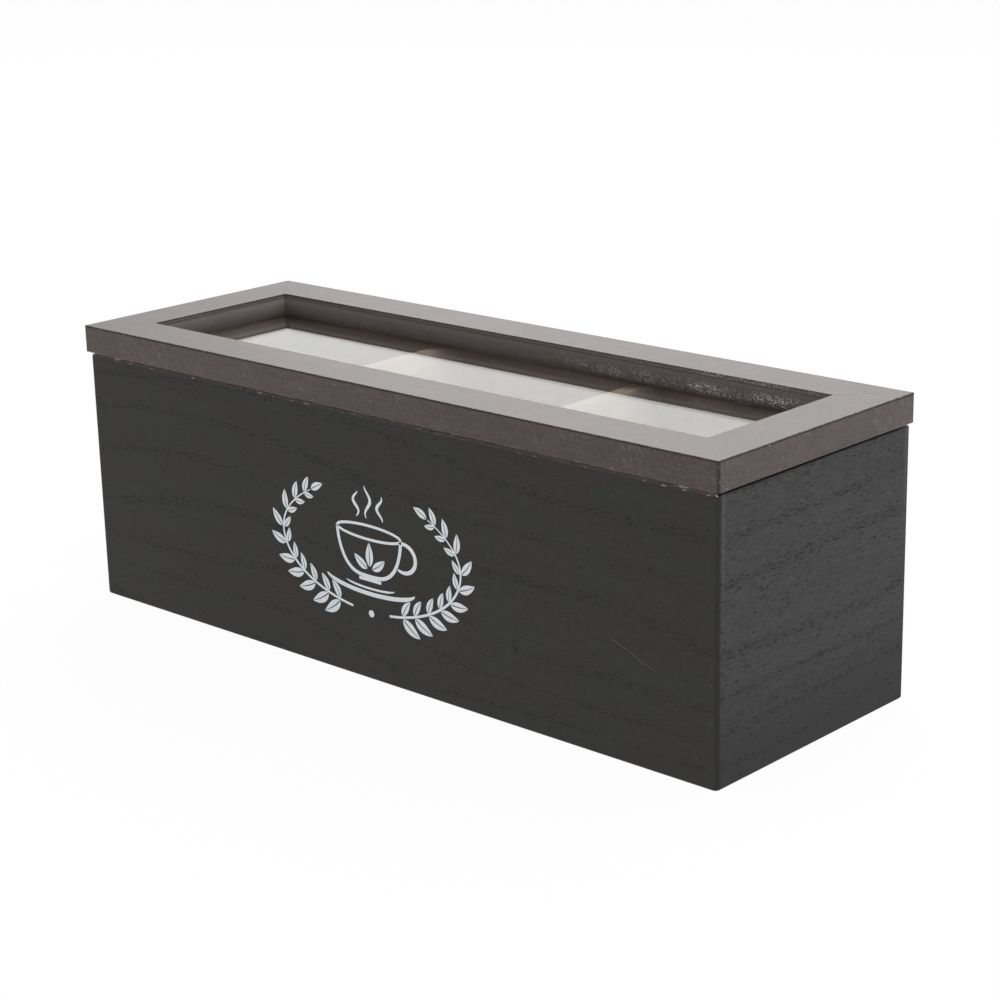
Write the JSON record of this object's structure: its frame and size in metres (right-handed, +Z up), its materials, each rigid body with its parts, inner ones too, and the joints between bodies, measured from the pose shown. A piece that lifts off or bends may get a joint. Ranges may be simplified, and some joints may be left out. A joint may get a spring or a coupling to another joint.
{
  "type": "tea bag organizer box",
  "caption": "Long lidded wooden box for tea bags, with a clear window in its hinged, mitred lid and dividers that make compartments in a row.",
  "frame": {"origin": "middle of the flat underside on which the box stands", "axes": "+X along the length to the right, -Y out of the front, +Z up"},
  "size_m": [0.2916, 0.1033, 0.1034],
  "materials": {
    "body_wood": "near-black stain over open-pored veneer, satin",
    "base_wood": "thin brown-stained sheet, matt",
    "divider_wood": "light brown sheet, matt",
    "lid_wood": "dark brown stain under semi-gloss lacquer",
    "pane": "clear float glass",
    "pad": "soft translucent bumper",
    "hinge_brass": "stamped, bright",
    "pin_brass": "drawn wire",
    "screw_brass": "turned, slotted",
    "point_steel": "punched strip"
  },
  "bodies": {
    "box": {"front_panel": "body_wood", "back_panel": "body_wood", "left_end_panel": "body_wood", "right_end_panel": "body_wood", "base_panel": "base_wood", "left_divider": "divider_wood", "right_divider": "divider_wood", "front_left_pad": "pad", "front_right_pad": "pad", "left_hinge_body_leaf": "hinge_brass", "right_hinge_body_leaf": "hinge_brass", "left_hinge_pin": "pin_brass", "right_hinge_pin": "pin_brass", "body_leaf_screws": "screw_brass"},
    "lid": {"lid_front_rail": "lid_wood", "lid_back_rail": "lid_wood", "lid_left_rail": "lid_wood", "lid_right_rail": "lid_wood", "window_pane": "pane", "glazing_points": "point_steel", "left_hinge_lid_leaf": "hinge_brass", "right_hinge_lid_leaf": "hinge_brass", "lid_leaf_screws": "screw_brass"}
  },
  "joints": [
    {"name": "lid_hinge", "type": "hinge", "parent": "box", "child": "lid", "pos_m": [0, 0.0513, 0.093], "axis": [-1, 0, 0], "range_deg": [0, 194]}
  ]
}
